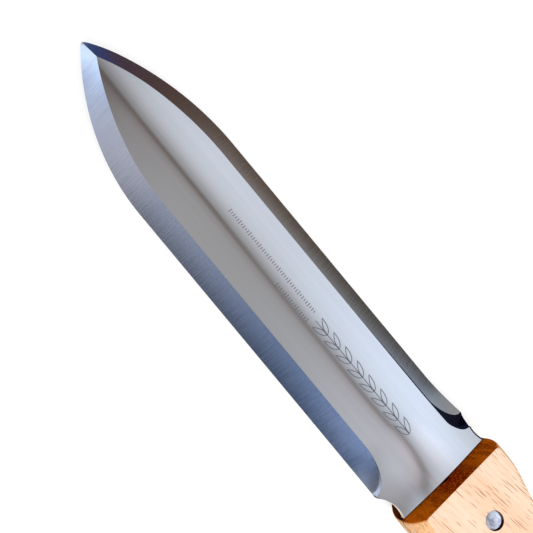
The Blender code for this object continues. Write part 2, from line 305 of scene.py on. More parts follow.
def blade_stations():
    """Stations of the blade's sections, close together where the outline or the bevels turn."""
    stations = [0.03, 0.1, 0.25, 0.45]
    stations += steps_between(TIP_RADIUS, BEVEL_TIP, 0.4)
    stations += [BEVEL_TIP, BEVEL_TIP + 0.05, BEVEL_TIP + 0.2]
    stations += steps_between(BEVEL_TIP + 0.4, BEVEL_POINT_LENGTH + 1, 0.7)
    stations += steps_between(BEVEL_POINT_LENGTH + 1, LEDGE_START, 5.0)
    stations += steps_between(LEDGE_START, RIGHT_GRIND[0], 2.0)
    stations += steps_between(RIGHT_GRIND[0], RIGHT_WALL[0], 0.6)
    stations += steps_between(RIGHT_WALL[0], HEEL, 0.25)
    stations += steps_between(HEEL, BLADE_LENGTH + 1, 0.25)
    stations += steps_between(BLADE_LENGTH + 1, TANG_START, 1.0)
    stations += steps_between(TANG_START, TANG_END, 20.0)
    return stations + [TANG_END]


# --- Meshes ---


def new_object(name, data, materials=()):
    made = bpy.data.objects.new(name, data)
    bpy.context.scene.collection.objects.link(made)
    for finish in materials:
        data.materials.append(finish)
    return made


def mesh_of(shape, name):
    """A mesh made from a bmesh, with its faces pointing out."""
    bmesh.ops.recalc_face_normals(shape, faces=shape.faces)
    mesh = bpy.data.meshes.new(name)
    shape.to_mesh(mesh)
    shape.free()
    return mesh


def loft(name, rings, strips=None):
    """A closed mesh through rings of points. Strips give a material index to each side of a ring."""
    shape = bmesh.new()
    made = [[shape.verts.new(Vector(point) * MM) for point in ring] for ring in rings]
    for first, second in zip(made, made[1:]):
        for i in range(len(first)):
            j = (i + 1) % len(first)
            face = shape.faces.new((first[i], first[j], second[j], second[i]))
            face.material_index = strips[i] if strips else 0
    shape.faces.new(made[0])
    shape.faces.new(made[-1])
    return mesh_of(shape, name)


def soften(mesh, angle):
    """Smooth shading, with sharp edges where finishes meet or the surface turns by more than an angle."""
    shape = bmesh.new()
    shape.from_mesh(mesh)
    for face in shape.faces:
        face.smooth = True
    for edge in shape.edges:
        faces = edge.link_faces
        if len(faces) == 2:
            same = faces[0].material_index == faces[1].material_index
            edge.smooth = same and edge.calc_face_angle(0) < math.radians(angle)
    shape.to_mesh(mesh)
    shape.free()


def rod(name, radius, centre, low=-CUTTER_REACH, high=CUTTER_REACH):
    """An upright cylinder for a cutter, with its ends at heights above or below a centre."""
    shape = bmesh.new()
    place = Matrix.Translation(Vector(centre) * MM + Vector((0, 0, (low + high) / 2 * MM)))
    bmesh.ops.create_cone(
        shape,
        cap_ends=True,
        segments=TURNED_STEPS,
        radius1=radius * MM,
        radius2=radius * MM,
        depth=(high - low) * MM,
        matrix=place,
    )
    return new_object(name, mesh_of(shape, name))


def cut(target, cutters):
    """Subtracts the cutters from the target and applies the result."""
    for cutter in cutters:
        boolean = target.modifiers.new("cut", "BOOLEAN")
        boolean.operation = "DIFFERENCE"
        boolean.solver = "EXACT"
        boolean.object = cutter
    graph = bpy.context.evaluated_depsgraph_get()
    result = bpy.data.meshes.new_from_object(target.evaluated_get(graph))
    target.modifiers.clear()
    target.data = result


def finish_piece(piece, node, angle):
    """Shades a piece, and puts it in place of a CAD node."""
    soften(piece.data, angle)
    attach(piece, "root")
    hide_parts(node)


# --- Materials ---


class Nodes:
    """Short-hand for building a node tree."""

    def __init__(self, tree):
        self.tree = tree

    def put(self, node, inputs):
        """Links or sets a node's inputs, by their names or numbers."""
        for key, value in inputs.items():
            if isinstance(value, bpy.types.NodeSocket):
                self.tree.links.new(value, node.inputs[key])
            else:
                node.inputs[key].default_value = value

    def add(self, kind, inputs=None, **settings):
        made = self.tree.nodes.new(kind)
        for key, value in settings.items():
            setattr(made, key, value)
        self.put(made, inputs or {})
        return made

    def math(self, operation, first, second=0.0, third=0.0):
        inputs = {0: first, 1: second, 2: third}
        return self.add("ShaderNodeMath", inputs, operation=operation).outputs[0]

    def rise(self, value, low, high):
        """0 at low and 1 at high, eased between them. Low may be the greater one."""
        inputs = {"Value": value, "From Min": low, "From Max": high}
        return self.add("ShaderNodeMapRange", inputs, interpolation_type="SMOOTHSTEP").outputs[0]

    def rise_mm(self, length, low, high):
        return self.rise(length, low * MM, high * MM)

    def mix(self, share, first, second):
        """A colour that goes from first to second as share goes from 0 to 1."""
        inputs = {0: share, 6: first, 7: second}
        return self.add("ShaderNodeMix", inputs, data_type="RGBA").outputs[2]

    def tint(self, tone, share, most, other):
        """Moves a colour towards another, by share times the most that it may move."""
        return self.mix(self.math("MULTIPLY", share, most), tone, other)

    def vector(self, operation, first, second=(0, 0, 0), output=0):
        inputs = {0: first, 1: second}
        return self.add("ShaderNodeVectorMath", inputs, operation=operation).outputs[output]

    def product(self, first, second):
        return self.vector("MULTIPLY", first, second)

    def axes(self, vector):
        return self.add("ShaderNodeSeparateXYZ", {0: vector}).outputs

    def place(self):
        """Where the surface is in the knife's frame, in metres."""
        return self.add("ShaderNodeTexCoord").outputs["Object"]

    def ramp(self, value, stops):
        """A colour looked up between stops of (value, colour)."""
        low, high = stops[0][0], stops[-1][0]
        inputs = {"Value": value, "From Min": low, "From Max": high}
        made = self.add("ShaderNodeValToRGB", {0: self.add("ShaderNodeMapRange", inputs).outputs[0]})
        points = made.color_ramp.elements
        while len(points) < len(stops):
            points.new(0.5)
        for point, (place, tone) in zip(points, stops):
            point.position = (place - low) / (high - low)
            point.color = (*tone, 1)
        return made.outputs[0]

    def stretched(self, coordinate, scale, turn=(0, 0, 0)):
        inputs = {"Vector": coordinate, "Scale": scale, "Rotation": turn}
        return self.add("ShaderNodeMapping", inputs).outputs[0]

    def noise(self, vector, detail=2.0, roughness=0.5):
        inputs = {"Vector": vector, "Scale": 1.0, "Detail": detail, "Roughness": roughness}
        return self.add("ShaderNodeTexNoise", inputs).outputs[0]

    def finish(self, shader, tone, roughness, metallic=0.0, relief=None):
        """Sets a shader's looks. Relief is a height, its distance in metres and its strength."""
        looks = {"Base Color": tone, "Roughness": roughness, "Metallic": metallic}
        if relief:
            inputs = dict(zip(("Height", "Distance", "Strength"), relief))
            looks["Normal"] = self.add("ShaderNodeBump", inputs).outputs[0]
        self.put(shader, looks)


def new_material(name):
    made = bpy.data.materials.new(name)
    made.use_nodes = True
    nodes = Nodes(made.node_tree)
    return made, nodes, made.node_tree.nodes["Principled BSDF"]


def colour(red, green, blue):
    """A linear colour from sRGB values of 0 to 255."""
    linear = []
    for value in (red, green, blue):
        share = value / 255
        linear.append(share / 12.92 if share <= 0.04045 else ((share + 0.055) / 1.055) ** 2.4)
    return (*linear, 1)


# Scales of noise are in cycles a metre.
# A steel's roughness is its own value times a base, with its lines and its broad clouds added to that.
ROUGH_BASE = 0.7
ROUGH_LINES = 0.5
ROUGH_CLOUDS = 0.15
CLOUD_SCALE = (60, 30, 60)
# The left of the neck is satin and whiter. The patch fades in between these stations and places across.
SATIN_STATIONS = (BLADE_LENGTH - 22.0, BLADE_LENGTH - 12.0)
SATIN_ACROSS = (-7.0, -12.0)
SATIN_ROUGHNESS = 0.12
SATIN_TONE = (0.88, 0.92, 1, 1)
SHARP_STATIONS = (HEEL + 3.0, HEEL - 1.0)  # the edge's painted pale highlight turns to a painted dark reflection between these stations


def steel(name, tint, roughness, scratch, bump, across=False, contrast=0.1, satin=False):
    """Steel with fine lines. Scratch is their scale across and along them, and across turns them to X."""
    made, nodes, shader = new_material(name)
    place = nodes.place()
    fine, coarse = scratch
    scale = (coarse, fine, coarse) if across else (fine, coarse, coarse)
    lines = nodes.noise(nodes.stretched(place, scale), detail=3.0, roughness=0.6)
    clouds = nodes.noise(nodes.stretched(place, CLOUD_SCALE), detail=2.0)
    level = nodes.math("MULTIPLY_ADD", lines, roughness * ROUGH_LINES, roughness * ROUGH_BASE)
    level = nodes.math("MULTIPLY_ADD", clouds, roughness * ROUGH_CLOUDS, level)
    dark = tuple(value * (1 - contrast) for value in tint[:3]) + (1,)
    tone = nodes.mix(lines, dark, tint)
    if satin:
        axes = nodes.axes(place)
        behind = nodes.rise_mm(axes["Y"], *[TIP_Y - station for station in SATIN_STATIONS])
        left = nodes.rise_mm(axes["X"], *SATIN_ACROSS)
        patch = nodes.math("MULTIPLY", behind, left)
        level = nodes.math("MULTIPLY_ADD", patch, SATIN_ROUGHNESS, level)
        tone = nodes.mix(patch, tone, SATIN_TONE)
    nodes.finish(shader, tone, level, metallic=1.0, relief=(lines, 0.001, bump))
    return made


def edge_material():
    """The cut edge of the sheet: a painted dark reflection where it is sharpened, and a painted pale
    highlight behind that.
    """
    made, nodes, shader = new_material("steel_edge")
    place = nodes.place()
    grain = nodes.noise(nodes.stretched(place, (400, 4000, 400)), detail=2.0)
    along = nodes.axes(place)["Y"]
    sharp = nodes.rise_mm(along, *[TIP_Y - station for station in SHARP_STATIONS])
    # pale is a painted highlight on the edge, and dark is a painted dark reflection
    pale = nodes.mix(grain, colour(238, 220, 200), colour(252, 240, 222))
    dark = nodes.mix(grain, colour(44, 48, 62), colour(96, 102, 120))
    nodes.finish(shader, nodes.mix(sharp, pale, dark), 0.5, metallic=0.35)
    return made


GRAIN_TURN = math.radians(-8)  # from the knife's length to the grain
FLECKS = ((0.6, 14.0), (0.45, 7.0))  # spacing of the dark flecks across and along the grain
FLECK_EDGE = (0.26, 0.16)  # a fleck fades in between these shares of that spacing
FLECK_CHANCE = (-0.1, 0.75)  # its strength grows with its cell's random value between these
KNOT = Vector((-0.8, FRONT_Y, TANG_Z + 3.2))  # a dark spot in the end grain
KNOT_SIZE = (2.6, 5.0, 1.5)
RED_HALF = (5.0, 14.0)  # the end grain turns from red to orange between these distances from the middle
RED_WANDER = 6.0  # how far the growth bands shift that
BLADE_LINE_SHADE = 1.8  # height of the painted shade line that the front end has along the blade
SHADE = (TANG_Z - 8.0, TANG_Z - 3.0)  # below the blade, the front end darkens between these heights
FRONT_ONLY = (-1.0, 1.0)  # both are left off behind the first of these places along the handle
SEAM_SHADE = (0.5, 0.25)  # the wood darkens between these distances from the glue line
BORE_SHADE = 0.12  # how far outside a counterbore the wood begins to darken
# Wood turns to end grain between these Y parts of its surface's direction, with a brown rim ahead of that.
END_TURN = (0.52, 0.7)
RIM_TURN = (0.35, 0.55)
FACE_TURN = (0.55, 0.97)  # and between these Z parts its sides turn to its flat faces

WOOD = {
    "face": colour(219, 191, 168),
    "warm face": colour(214, 179, 152),
    "face streak": colour(205, 164, 131),
    "side": colour(228, 182, 134),
    "side streak": colour(206, 150, 98),
    "fleck": colour(140, 84, 46),
    "rim": colour(200, 128, 56),
    "red end": colour(102, 22, 0),
    "orange end": colour(158, 74, 3),
    "band": colour(96, 30, 2),
    "pore": colour(196, 104, 28),
    "knot": colour(34, 6, 2),
    "blade_line_shade": colour(30, 10, 4),
    "shade": colour(26, 10, 6),
    # the gap colour is painted shade for the glue line and the counterbore walls
    "gap": colour(48, 18, 8),
}


def flecks(nodes, grain, across, along):
    """Short thin lines, one in most cells of a pattern stretched along the grain."""
    cells = nodes.stretched(grain, (1 / (across * MM), 1 / (along * MM), 1 / (across * MM)))
    made = nodes.add("ShaderNodeTexVoronoi", {"Vector": cells, "Scale": 1.0})
    chance = nodes.add("ShaderNodeSeparateColor", {0: made.outputs["Color"]}).outputs
    line = nodes.rise(made.outputs["Distance"], *FLECK_EDGE)
    return nodes.math("MULTIPLY", line, nodes.rise(chance["Red"], *FLECK_CHANCE))


def knot(nodes, place):
    """1 in the middle of the knot, falling to 0 at its edge."""
    offset = nodes.vector("SUBTRACT", place, KNOT * MM)
    offset = nodes.product(offset, [1 / (size * MM) for size in KNOT_SIZE])
    return nodes.rise(nodes.vector("LENGTH", offset, output="Value"), 1.0, 0.2)


def height_over_blade(nodes, axes):
    """Height above the blade's front surface at the handle, where that surface falls away to both sides."""
    seat = sheet_heights(0, BLADE_LENGTH)[1]
    fall = (seat - sheet_heights(NECK_HALF, BLADE_LENGTH)[1]) / NECK_HALF**2
    bow = nodes.math("MULTIPLY", nodes.math("MULTIPLY", axes["X"], axes["X"]), fall / MM)
    return nodes.math("SUBTRACT", nodes.math("ADD", axes["Z"], bow), seat * MM)


def end_grain(nodes, place):
    """Colour of the handle's ends: red-brown in the middle, and at the front with painted shade along the
    blade and below it.
    """
    axes = nodes.axes(place)
    bands = nodes.noise(nodes.stretched(place, (520, 10, 60), (0, 0.25, 0)), detail=3.0)
    outward = nodes.math("MULTIPLY_ADD", bands, RED_WANDER * MM, nodes.math("ABSOLUTE", axes["X"]))
    tone = nodes.mix(nodes.rise_mm(outward, *RED_HALF), WOOD["red end"], WOOD["orange end"])
    tone = nodes.tint(tone, nodes.rise(bands, 0.42, 0.62), 0.65, WOOD["band"])
    pores = nodes.noise(nodes.stretched(place, (2200, 2200, 1500)), detail=2.0)
    tone = nodes.tint(tone, nodes.rise(pores, 0.5, 0.7), 0.6, WOOD["pore"])
    tone = nodes.mix(knot(nodes, place), tone, WOOD["knot"])
    above = height_over_blade(nodes, axes)
    ahead = nodes.rise_mm(axes["Y"], *FRONT_ONLY)
    # painted shade: a dark line on the front end just above the blade
    blade_line_shade = nodes.math("MULTIPLY", nodes.rise_mm(above, BLADE_LINE_SHADE, 0), ahead)
    tone = nodes.tint(tone, blade_line_shade, 0.85, WOOD["blade_line_shade"])
    below = nodes.math("MULTIPLY", nodes.rise_mm(above, 0, -1), ahead)
    shade = nodes.math("MULTIPLY", nodes.rise_mm(axes["Z"], *SHADE), below)
    return nodes.tint(tone, shade, 0.8, WOOD["shade"])


def seam_and_bore_shade(nodes, place, rivet_ys):
    """Where painted shade falls: 1 along the glue line and on the walls of the counterbores, and 0
    elsewhere.
    """
    height = nodes.axes(place)["Z"]
    from_seam = nodes.math("ABSOLUTE", nodes.math("SUBTRACT", height, TANG_Z * MM))
    dark = nodes.rise_mm(from_seam, *SEAM_SHADE)
    flat = nodes.product(place, (1, 1, 0))
    for y in rivet_ys:
        distance = nodes.vector("DISTANCE", flat, (0, y * MM, 0), output="Value")
        bore = nodes.rise_mm(distance, COUNTERBORE_RADIUS + BORE_SHADE, COUNTERBORE_RADIUS)
        dark = nodes.math("MAXIMUM", dark, bore)
    return dark


def wood_material(rivet_ys):
    """Varnished beech: pale along the grain with short dark flecks, and red-brown on the end grain."""
    made, nodes, shader = new_material("beech")
    place = nodes.place()
    grain = nodes.stretched(place, (1, 1, 1), (0, 0, GRAIN_TURN))
    direction = nodes.axes(nodes.add("ShaderNodeTexCoord").outputs["Normal"])
    upward = nodes.math("ABSOLUTE", direction["Z"])
    endward = nodes.math("ABSOLUTE", direction["Y"])

    broad = nodes.noise(nodes.stretched(grain, (90, 12, 90)), detail=3.0)
    streaks = nodes.noise(nodes.stretched(grain, (1100, 40, 1100)), detail=3.0, roughness=0.6)
    face = nodes.mix(nodes.rise(broad, 0.35, 0.65), WOOD["face"], WOOD["warm face"])
    face = nodes.mix(nodes.rise(streaks, 0.45, 0.8), face, WOOD["face streak"])
    side = nodes.mix(nodes.rise(streaks, 0.35, 0.7), WOOD["side"], WOOD["side streak"])
    skin = nodes.mix(nodes.rise(upward, *FACE_TURN), side, face)
    fleck = nodes.math("MAXIMUM", *[flecks(nodes, grain, across, along) for across, along in FLECKS])
    skin = nodes.tint(skin, fleck, 0.85, WOOD["fleck"])

    skin = nodes.mix(nodes.rise(endward, *RIM_TURN), skin, WOOD["rim"])
    end_share = nodes.rise(endward, *END_TURN)
    skin = nodes.mix(end_share, skin, end_grain(nodes, place))
    # painted shade along the glue line and on the counterbore walls
    skin = nodes.tint(skin, seam_and_bore_shade(nodes, place, rivet_ys), 0.85, WOOD["gap"])

    gloss = nodes.math("MULTIPLY_ADD", streaks, 0.2, 0.38)
    height = nodes.math("MULTIPLY_ADD", fleck, -0.6, streaks)
    nodes.finish(shader, skin, gloss, relief=(height, 0.0002, 0.2))
    nodes.put(shader, {"Specular IOR Level": nodes.math("MULTIPLY_ADD", end_share, -0.35, 0.35)})
    return made


def rivet_material():
    """Bare steel with scratches running in many directions."""
    made, nodes, shader = new_material("rivet_steel")
    place = nodes.place()
    scratches = 0.0
    for turn in (0.3, 1.4, 2.3):
        lines = nodes.noise(nodes.stretched(place, (5200, 260, 900), (0, 0, turn)), detail=2.0)
        scratches = nodes.math("MAXIMUM", scratches, nodes.rise(lines, 0.58, 0.7))
    patches = nodes.rise(nodes.noise(nodes.stretched(place, [620] * 3), detail=2.0), 0.35, 0.65)
    tone = nodes.mix(patches, colour(168, 174, 190), colour(226, 230, 238))
    tone = nodes.mix(scratches, tone, colour(252, 253, 255))
    nodes.finish(shader, tone, 0.3, metallic=1.0, relief=(scratches, 0.00005, 0.6))
    return made


def etch_material():
    """The dull grey of a line etched into steel."""
    made, nodes, shader = new_material("etched_line")
    grain = nodes.noise(nodes.stretched(nodes.place(), [4000] * 3), detail=1.0)
    tone = nodes.mix(grain, colour(70, 72, 82), colour(112, 114, 124))
    nodes.finish(shader, tone, 0.6, metallic=0.3)
    return made


# --- The pieces ---


def make_blade(rivet_ys):
    """The blade, with a finish for each strip of its section and its tang drilled for the rivets."""
    front, bevel, right_wall, left_wall, back, edge = range(6)
    strips = [back] * BACK_STEPS + [edge] + [bevel] * BEVEL_STEPS + [right_wall] * WALL_STEPS
    strips += [front] * FRONT_STEPS + [left_wall] * WALL_STEPS + [bevel] * BEVEL_STEPS + [edge]
    rings = []
    for station in blade_stations():
        rings.append([(x, TIP_Y - station, z) for x, z in blade_section(station)])
    polished = colour(226, 228, 232)
    finishes = [
        steel("steel_polished", polished, 0.11, (700, 12), 0.015, satin=True),
        steel("steel_ground", colour(233, 235, 241), 0.17, (2600, 70), 0.06, across=True, contrast=0.32),
        # the right wall's near-black navy is painted shade on the same steel
        steel("steel_wall_painted_shade", colour(26, 28, 52), 0.22, (3000, 90), 0.05, across=True),
        steel("steel_light_wall", polished, 0.35, (3000, 90), 0.05, across=True),
        steel("steel_back", polished, 0.24, (1500, 20), 0.05),
        edge_material(),
    ]
    blade = new_object("blade_steel", loft("blade_steel", rings, strips), finishes)
    holes = [rod("tang_hole", RIVET_HOLE_RADIUS, (0, y, TANG_Z)) for y in rivet_ys]
    cut(blade, holes)
    for hole in holes:
        bpy.data.objects.remove(hole)
    finish_piece(blade, "blade", angle=40)


def add_line(shape, points, closed=False):
    """A thin raised line along (station, x) points on the front surface, as one closed body."""
    count = len(points)
    rings = []
    for i, (station, x) in enumerate(points):
        before = points[i - 1] if closed or i else points[i]
        after = points[(i + 1) % count] if closed or i < count - 1 else points[i]
        along, across = after[0] - before[0], after[1] - before[1]
        reach = math.hypot(along, across)
        side = (-across / reach * LINE_WIDTH / 2, along / reach * LINE_WIDTH / 2)
        ring = []
        for turn, lift in ((-1, -LINE_DEPTH), (1, -LINE_DEPTH), (1, LINE_RISE), (-1, LINE_RISE)):
            at, out = station + side[0] * turn, x + side[1] * turn
            point = Vector((out, TIP_Y - at, sheet_heights(out, at)[1] + lift))
            ring.append(shape.verts.new(point * MM))
        rings.append(ring)
    following = rings[1:] + rings[:1] if closed else rings[1:]
    for first, second in zip(rings, following):
        for i in range(4):
            j = (i + 1) % 4
            shape.faces.new((first[i], first[j], second[j], second[i]))
    if not closed:
        shape.faces.new(rings[0])
        shape.faces.new(rings[-1])


def leaf(base, angle):
    """A leaf's outline as (station, x) points. It starts on the stem and leans to one side."""
    points = []
    for step in range(2 * LEAF_STEPS):
        share = step / LEAF_STEPS
        along = share if share <= 1 else 2 - share
        side = 1 if share <= 1 else -1
        across = side * LEAF_WIDTH / 2 * math.sin(math.pi * along**LEAF_FULLNESS)
        station = base - LEAF_LENGTH * along * math.cos(angle) + across * math.sin(angle)
        out = LEAF_LENGTH * along * math.sin(angle) + across * math.cos(angle)
        points.append((station, SPRIG_X + math.copysign(STEM_GAP, angle) + out))
    return points


def make_engraving():
    """A sprig of outlined leaves, with two rows of small ticks ahead of it."""
    shape = bmesh.new()
    start, end = SPRIG
    add_line(shape, [(at, SPRIG_X) for at in steps_between(start, end, 3.0) + [end]])
    for pair in range(LEAF_PAIRS):
        base = start + (end - start) * (pair + 1) / LEAF_PAIRS
        for side in (-1, 1):
            add_line(shape, leaf(base, side * LEAF_ANGLE), closed=True)
    for (start, end), x in TICK_ROWS:
        for i, station in enumerate(steps_between(start, end, TICK_SPACING)):
            reach = TICK_LENGTHS[i % len(TICK_LENGTHS)] / 2
            add_line(shape, [(station, x - reach), (station, x), (station, x + reach)])
    piece = new_object("blade_engraving", mesh_of(shape, "blade_engraving"), [etch_material()])
    soften(piece.data, 30)
    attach(piece, "root")


def outline_half(distance):
    """Half width of the handle at a distance behind its front face, on a curve through HANDLE_OUTLINE."""
    points = HANDLE_OUTLINE
    last = len(points) - 1
    for i in range(last):
        (start, a), (end, b) = points[i], points[i + 1]
        if distance <= end:
            break
    before = points[max(i - 1, 0)]
    after = points[min(i + 2, last)]
    span = end - start
    slope_a = (b - before[1]) / (end - before[0])
    slope_b = (after[1] - a) / (after[0] - start)
    t = min((distance - start) / span, 1)
    value = a * (2 * t**3 - 3 * t**2 + 1) + b * (3 * t**2 - 2 * t**3)
    return value + span * (slope_a * (t**3 - 2 * t**2 + t) + slope_b * (t**3 - t**2))


def handle_side():
    """The handle's outline on the +X side as (half width, distance), from the front face to the butt."""
    points = []
    for step in range(ROUND_STEPS + 1):
        angle = step / ROUND_STEPS * math.pi / 2
        distance = FRONT_CORNER * (1 - math.cos(angle))
        points.append((outline_half(distance) - FRONT_CORNER * (1 - math.sin(angle)), distance))
    straight_end = HANDLE_LENGTH - BUTT_LENGTH
    for distance in steps_between(FRONT_CORNER, straight_end, 1.0)[1:] + [straight_end]:
        points.append((outline_half(distance), distance))
    end_half = outline_half(straight_end)
    for step in range(1, BUTT_STEPS):
        angle = step / BUTT_STEPS * math.pi / 2
        half = end_half * math.cos(angle) ** BUTT_POWER
        points.append((half, straight_end + BUTT_LENGTH * math.sin(angle)))
    return points


def scale_layers(face, radius):
    """Layers from the glue line out to the face, as (height, inset of the sides and butt, of the front)."""

    def barrel(height):
        return radius - math.sqrt(radius**2 - (height - BARREL_START) ** 2)

    layers = []
    for step in range(SEAM_STEPS + 1):
        angle = step / SEAM_STEPS * math.pi / 2
        inset = SEAM_ROUND * (1 - math.sin(angle))
        layers.append((GAP / 2 + SEAM_ROUND * (1 - math.cos(angle)), inset, inset))
    low = face - SIDE_ROUND
    for height in steps_between(BARREL_START, low, 0.8):
        layers.append((height, barrel(height), 0))
    side = barrel(low)
    for step in range(ROUND_STEPS + 1):
        angle = step / ROUND_STEPS * math.pi / 2
        inset = side + SIDE_ROUND * (1 - math.cos(angle))
        layers.append((low + SIDE_ROUND * math.sin(angle), inset, END_ROUND * (1 - math.cos(angle))))
    return layers


def make_scale(name, node, face_z, radius, wood, cutters):
    """One half of the handle, from the seam out to its flat face."""
    outline = handle_side()
    widest = max(half for half, distance in outline)
    side = 1 if face_z > TANG_Z else -1
    rings = []
    for height, inset, end_inset in scale_layers(abs(face_z - TANG_Z), radius):
        across = 1 - inset / widest
        along = 1 - (inset + end_inset) / HANDLE_LENGTH
        front = FRONT_Y - end_inset
        right = [(half * across, front - distance * along) for half, distance in outline]
        left = [(-x, y) for x, y in reversed(right)]
        butt = [(0, front - HANDLE_LENGTH * along)]
        rings.append([(x, y, TANG_Z + side * height) for x, y in right + butt + left])
    piece = new_object(name, loft(name, rings), [wood])
    piece.visible_glossy = False
    cut(piece, cutters)
    finish_piece(piece, node, angle=28)


def tang_pocket():
    """The space that the two handle halves leave for the tang."""
    rings = []
    stations = [BLADE_LENGTH - 5.0, BLADE_LENGTH]
    stations += steps_between(SHOULDER, TANG_START + 1, 0.7)
    stations += [TANG_END + GAP]
    for station in stations:
        cut_at = max(station, BLADE_LENGTH)
        half = blade_half(cut_at) + GAP
        back, front = [], []
        for step in range(POCKET_STEPS + 1):
            x = half * (2 * step / POCKET_STEPS - 1)
            low, high = sheet_heights(x, cut_at)
            back.append((x, TIP_Y - station, low - GAP / 2))
            front.append((x, TIP_Y - station, high + GAP / 2))
        rings.append(back + front[::-1])
    return new_object("tang_pocket", loft("tang_pocket", rings))


def head_profile(rim_z):
    """The domed head's outline, from its crown down to its underside."""
    points = []
    for step in range(DOME_STEPS + 1):
        share = step / DOME_STEPS
        points.append((HEAD_RADIUS * DOME_SHARE * share, rim_z + HEAD_DOME * (1 - share**2)))
    for share, depth in HEAD_RIM:
        points.append((HEAD_RADIUS * share, rim_z - depth))
    return points + [(HEAD_RADIUS, rim_z - HEAD_THICKNESS)]


def make_turned(name, node, profile, centre, finish, flip=False):
    """A solid turned about an upright axis. A flipped piece points down."""
    shape = bmesh.new()
    rings = []
    for radius, height in profile:
        count = 1 if radius == 0 else TURNED_STEPS
        ring = []
        for step in range(count):
            angle = 2 * math.pi * step / TURNED_STEPS
            z = -height if flip else height
            point = Vector((radius * math.cos(angle), radius * math.sin(angle), z)) + Vector(centre)
            ring.append(shape.verts.new(point * MM))
        rings.append(ring)
    for first, second in zip(rings, rings[1:]):
        for step in range(TURNED_STEPS):
            nearby = (step + 1) % TURNED_STEPS
            corners = [first[step % len(first)], first[nearby % len(first)]]
            corners += [second[nearby % len(second)], second[step % len(second)]]
            shape.faces.new(list(dict.fromkeys(corners)))
    finish_piece(new_object(name, mesh_of(shape, name), [finish]), node, angle=35)


def make_rivet(place, centre, finish):
    """A rivet's two halves, turned from (radius, height) profiles that run from the head inwards."""
    pin_rim = FRONT_HIGH.z - TANG_Z - HEAD_DEPTH
    sleeve_rim = TANG_Z - BACK_LOW.z - HEAD_DEPTH
    pin_under = pin_rim - HEAD_THICKNESS
    sleeve_under = sleeve_rim - HEAD_THICKNESS
    pin_end = GAP - sleeve_under
    sleeve_end = GAP - pin_under
    pin = head_profile(pin_rim) + [(PIN_RADIUS, pin_under), (PIN_RADIUS, pin_end), (0, pin_end)]
    sleeve = head_profile(sleeve_rim) + [(SLEEVE_RADIUS, sleeve_under), (SLEEVE_RADIUS, sleeve_end)]
    sleeve += [(SLEEVE_BORE, sleeve_end), (SLEEVE_BORE, sleeve_under), (0, sleeve_under)]
    make_turned(place + "_rivet_head", place + "_rivet_pin", pin, centre, finish)
    make_turned(place + "_rivet_tube", place + "_rivet_sleeve", sleeve, centre, finish, flip=True)


def rivet_cutters(centre):
    """The rivet's hole and the counterbores for its two heads."""
    pin_seat = FRONT_HIGH.z - TANG_Z - HEAD_DEPTH - HEAD_THICKNESS - GAP
    sleeve_seat = TANG_Z - BACK_LOW.z - HEAD_DEPTH - HEAD_THICKNESS - GAP
    hole = rod("hole", RIVET_HOLE_RADIUS, centre)
    front_bore = rod("front_bore", COUNTERBORE_RADIUS, centre, low=pin_seat)
    back_bore = rod("back_bore", COUNTERBORE_RADIUS, centre, high=-sleeve_seat)
    return hole, front_bore, back_bore


def make_handle(rivet_ys):
    """Both halves of the handle, hollowed for the tang and drilled, and the rivets through them."""
    wood = wood_material(rivet_ys)
    metal = rivet_material()
    pocket = tang_pocket()
    front_cutters, back_cutters = [pocket], [pocket]
    for y in rivet_ys:
        hole, front_bore, back_bore = rivet_cutters((0, y, TANG_Z))
        front_cutters += [hole, front_bore]
        back_cutters += [hole, back_bore]
    make_scale("front_grip", "front_scale", FRONT_HIGH.z, FRONT_BARREL, wood, front_cutters)
    make_scale("back_grip", "back_scale", BACK_LOW.z, BACK_BARREL, wood, back_cutters)
    for cutter in dict.fromkeys(front_cutters + back_cutters):
        bpy.data.objects.remove(cutter)
    for place, y in zip(("front", "rear"), rivet_ys):
        make_rivet(place, (0, y, TANG_Z), metal)


# --- The scene ---


WHITE = (1, 1, 1, 1)
FLOOR_SIZE = 6.0  # metres
FLOOR_TONE = (0.5, 0.5, 0.5, 1)
FLOOR_GLOW = 0.52  # softens the shadows on the floor
FLOOR_GAP = 0.05  # keeps the floor clear of the handle's flat back


def make_floor():
    """A pale floor that is clear from below, so that the knife's underside can be seen."""
    bpy.ops.mesh.primitive_plane_add(size=FLOOR_SIZE)
    floor = bpy.context.object
    floor.name = "floor"
    made, nodes, shader = new_material("pale_floor")
    nodes.finish(shader, FLOOR_TONE, 0.9)
    nodes.put(shader, {"Specular IOR Level": 0.1, "Emission Color": WHITE, "Emission Strength": FLOOR_GLOW})
    clear = nodes.add("ShaderNodeBsdfTransparent").outputs[0]
    below = nodes.add("ShaderNodeNewGeometry").outputs["Backfacing"]
    seen = nodes.add("ShaderNodeMixShader", {0: below, 1: shader.outputs[0], 2: clear})
    nodes.put(nodes.tree.nodes["Material Output"], {"Surface": seen.outputs[0]})
    floor.data.materials.append(made)
    floor.location.z = -FLOOR_GAP * MM
    floor.visible_glossy = False


# What steel reflects, as stops of (direction of the reflected ray, linear colour). Directions run along the
# knife, as the Y part of the ray, or across it, in degrees towards the right.

# The panels overhead, across the knife from the middle of the dark gap between them
OVERHEAD = (
    (-90, (0.53, 0.52, 0.51)),
    (-36, (0.525, 0.515, 0.51)),
    (-26, (0.515, 0.505, 0.50)),
    (-16, (0.50, 0.48, 0.47)),
    (-8, (0.45, 0.42, 0.41)),
    (-4, (0.37, 0.33, 0.315)),
    (-1.2, (0.22, 0.17, 0.15)),
    (1.2, (0.22, 0.175, 0.155)),
    (4, (0.40, 0.39, 0.385)),
    (12, (0.56, 0.56, 0.575)),
    (19, (0.70, 0.705, 0.735)),
    (27, (0.80, 0.82, 0.87)),
    (34, (0.88, 0.91, 0.98)),
    (50, (0.93, 0.98, 1.06)),
    (67, (0.97, 1.02, 1.12)),
    (90, (0.97, 1.02, 1.14)),
)
